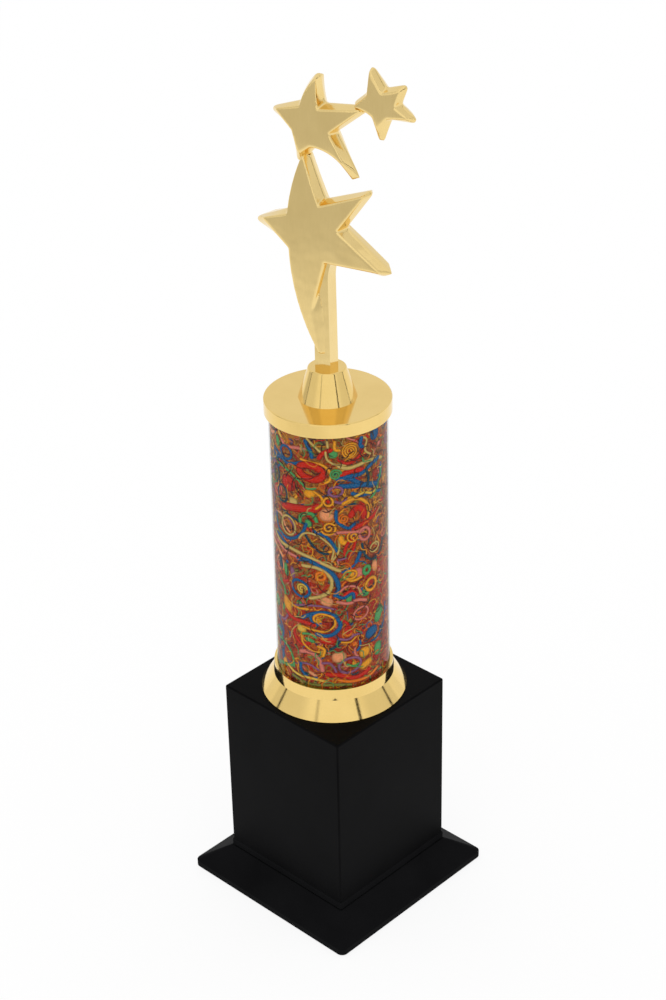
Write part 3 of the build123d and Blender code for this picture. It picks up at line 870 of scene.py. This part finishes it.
def add_room():
    """White light all round, lower on the flanks and the far side, with thin gaps between the panels."""
    world = bpy.data.worlds.new("room")
    bpy.context.scene.world = world
    world.use_nodes = True
    graph = Graph(world.node_tree)
    direction = graph.add("ShaderNodeTexCoord").outputs["Generated"]
    axes = graph.add("ShaderNodeSeparateXYZ", {0: direction}).outputs
    azimuth = graph.math("ARCTAN2", axes[0], graph.math("MULTIPLY", axes[1], -1.0))
    height = graph.math("ARCSINE", axes[2])
    outward = graph.math(
        "ADD",
        graph.math("MULTIPLY", axes[0], sin(VIEW_AZIMUTH)),
        graph.math("MULTIPLY", axes[1], -cos(VIEW_AZIMUTH)))
    light = graph.fade(outward, -0.7, 0.1, FAR_WALL_LIGHT, ROOM_LIGHT)
    turned = graph.math("ARCCOSINE", graph.math("DIVIDE", outward, graph.math("COSINE", height)))
    flank = graph.fade(turned, radians(FLANK_START), radians(FLANK_END), 1.0, FLANK_LIGHT)
    behind = graph.fade(turned, radians(FLANK_BACK), radians(FLANK_BACK + FLANK_BACK_SOFT), 0.0, 1.0)
    flank = graph.math("MAXIMUM", flank, behind)
    light = graph.math("MULTIPLY", light, flank)
    above = graph.fade(height, GAP_BOTTOM - 0.1, GAP_BOTTOM, 0.0, 1.0)
    below = graph.fade(height, GAP_TOP, GAP_TOP + 0.15, 1.0, 0.0)
    mask = graph.math("MULTIPLY", above, below)
    for offset, half, depth in LIGHT_GAPS:
        away = graph.math("ABSOLUTE", graph.math("SUBTRACT", azimuth, VIEW_AZIMUTH + radians(offset)))
        gap = graph.fade(away, radians(half), radians(half + GAP_SOFT), depth, 0.0)
        light = graph.math("MULTIPLY", light, graph.math("SUBTRACT", 1.0, graph.math("MULTIPLY", gap, mask)))
    background = graph.add("ShaderNodeBackground", {"Color": (1.0, 1.0, 1.0, 1.0), "Strength": light})
    graph.add("ShaderNodeOutputWorld", {"Surface": background.outputs[0]})


def floor_with_painted_pool():
    """Pale floor with a painted glow and a painted pool of light: white round the trophy, falling off at the
    pool's near edge.
    """
    material, graph, place = new_material("studio_floor_painted_pool")
    offset = (-PAINTED_POOL_CENTRE[0], -PAINTED_POOL_CENTRE[1], 0)
    centre = graph.add("ShaderNodeMapping", {"Vector": place, "Location": offset})
    axes = graph.add("ShaderNodeSeparateXYZ", {0: centre.outputs[0]}).outputs
    toward = graph.math("MULTIPLY", axes[1], -1.0)
    # painted pool of light: brightness painted to fall off towards the front
    light = graph.fade(toward, PAINTED_POOL_NEAR, PAINTED_POOL_FAR, 1.0, PAINTED_POOL_EDGE_GLOW)
    fibre = graph.noise(place, 300.0)
    paper = graph.fade(fibre, 0.0, 1.0, 0.97, 1.0)
    # painted shade: the floor's colour darkened with the painted pool's falloff
    floor_colour_with_painted_falloff = graph.math("MULTIPLY", graph.math("MULTIPLY", light, FLOOR_PAINT), paper)
    colour = graph.add("ShaderNodeCombineColor", {0: floor_colour_with_painted_falloff, 1: floor_colour_with_painted_falloff, 2: floor_colour_with_painted_falloff}).outputs[0]
    shader = graph.add("ShaderNodeBsdfPrincipled", {
        "Base Color": colour,
        "Roughness": 1.0,
        "Specular IOR Level": 0.0,
        "Emission Color": (1.0, 1.0, 1.0, 1.0),
        # painted glow: the floor emits light that follows the painted pool
        "Emission Strength": graph.math("MULTIPLY", light, FLOOR_PAINTED_GLOW),
    })
    output(graph, shader.outputs[0])
    return material


def add_floor():
    """A wide flat floor under the feet."""
    mesh = bpy.data.meshes.new("studio_floor_painted_pool")
    corners = [(x, y, 0.0) for x, y in ((-1, -1), (1, -1), (1, 1), (-1, 1))]
    mesh.from_pydata([tuple(FLOOR_HALF * c for c in corner) for corner in corners], [], [(0, 1, 2, 3)])
    mesh.materials.append(floor_with_painted_pool())
    floor = bpy.data.objects.new("studio_floor_painted_pool", mesh)
    bpy.context.scene.collection.objects.link(floor)


# ---- the scene ----------------------------------------------------------------------------
bpy.context.scene.view_settings.view_transform = "Standard"
add_camera()
add_room()
add_floor()

cup_gold = gold_metallised("cup_gold", (0.83, 0.590, 0.205), (0.90, 0.655, 0.245), 0.06 * MM)
star_gold = gold_metallised("star_gold", (0.84, 0.628, 0.262), (0.92, 0.700, 0.305), 0.8 * MM)
paint(cup_gold, ["lower_cup", "column_lid", "figure_cone"])
paint(star_gold, ["figure_stem"])
soften_edges("lower_cup", 1.0 * MM)
soften_edges("figure_stem", 0.45 * MM)
paint(black_plastic("block_black", 0.0028, 0.0050, 0.022), ["base_block"])
# The plinth's copy of the black plastic: its own black, lightened with a painted sheen that takes the place
# of most of its specular reflection.
paint(black_plastic("plinth_black_painted_sheen", 0.0060, 0.0085, 0.006), ["base_plinth"])
paint(clear_acrylic(), ["column_tube"])
paint(
    surface("zinc_steel", (0.42, 0.43, 0.45), (0.60, 0.61, 0.62), 0.6 * MM, (0.25, 0.4), metallic=1.0),
    ["cover_screws", "tie_rod", "bottom_washer", "bottom_nut", "lid_washer", "lid_nut",
     "star_pin_lower", "star_pin_upper"])
paint(surface("plain_brass", (0.55, 0.38, 0.13), (0.72, 0.52, 0.20), 0.5 * MM, (0.2, 0.35), metallic=1.0),
      ["figure_insert"])
paint(surface("cast_iron", (0.03, 0.03, 0.032), (0.08, 0.078, 0.075), 1.5 * MM, (0.6, 0.8), metallic=0.6,
              relief=0.3 * MM), ["ballast_block"])
paint(surface("brown_board", (0.13, 0.065, 0.03), (0.26, 0.15, 0.075), 0.8 * MM, (0.7, 0.9),
              specular=0.2, relief=0.1 * MM), ["bottom_cover"])
paint(surface("black_rubber", (0.008, 0.008, 0.008), (0.022, 0.021, 0.02), 0.7 * MM, (0.7, 0.9),
              specular=0.3, relief=0.08 * MM), ["rubber_feet"])
paint(surface("white_plastic", (0.62, 0.62, 0.60), (0.76, 0.76, 0.74), 1.0 * MM, (0.35, 0.5)),
      ["tube_lower_plug", "tube_upper_plug"])
paint(surface("grey_card", (0.22, 0.21, 0.19), (0.38, 0.36, 0.33), 0.5 * MM, (0.8, 0.95),
              specular=0.1, relief=0.05 * MM), ["column_core"])

polished_star("large_star", "large_star_polished", star_gold)
polished_star("middle_star", "middle_star_polished", star_gold)
polished_star("small_star", "small_star_polished", star_gold)
swirl_film(swirl_print())
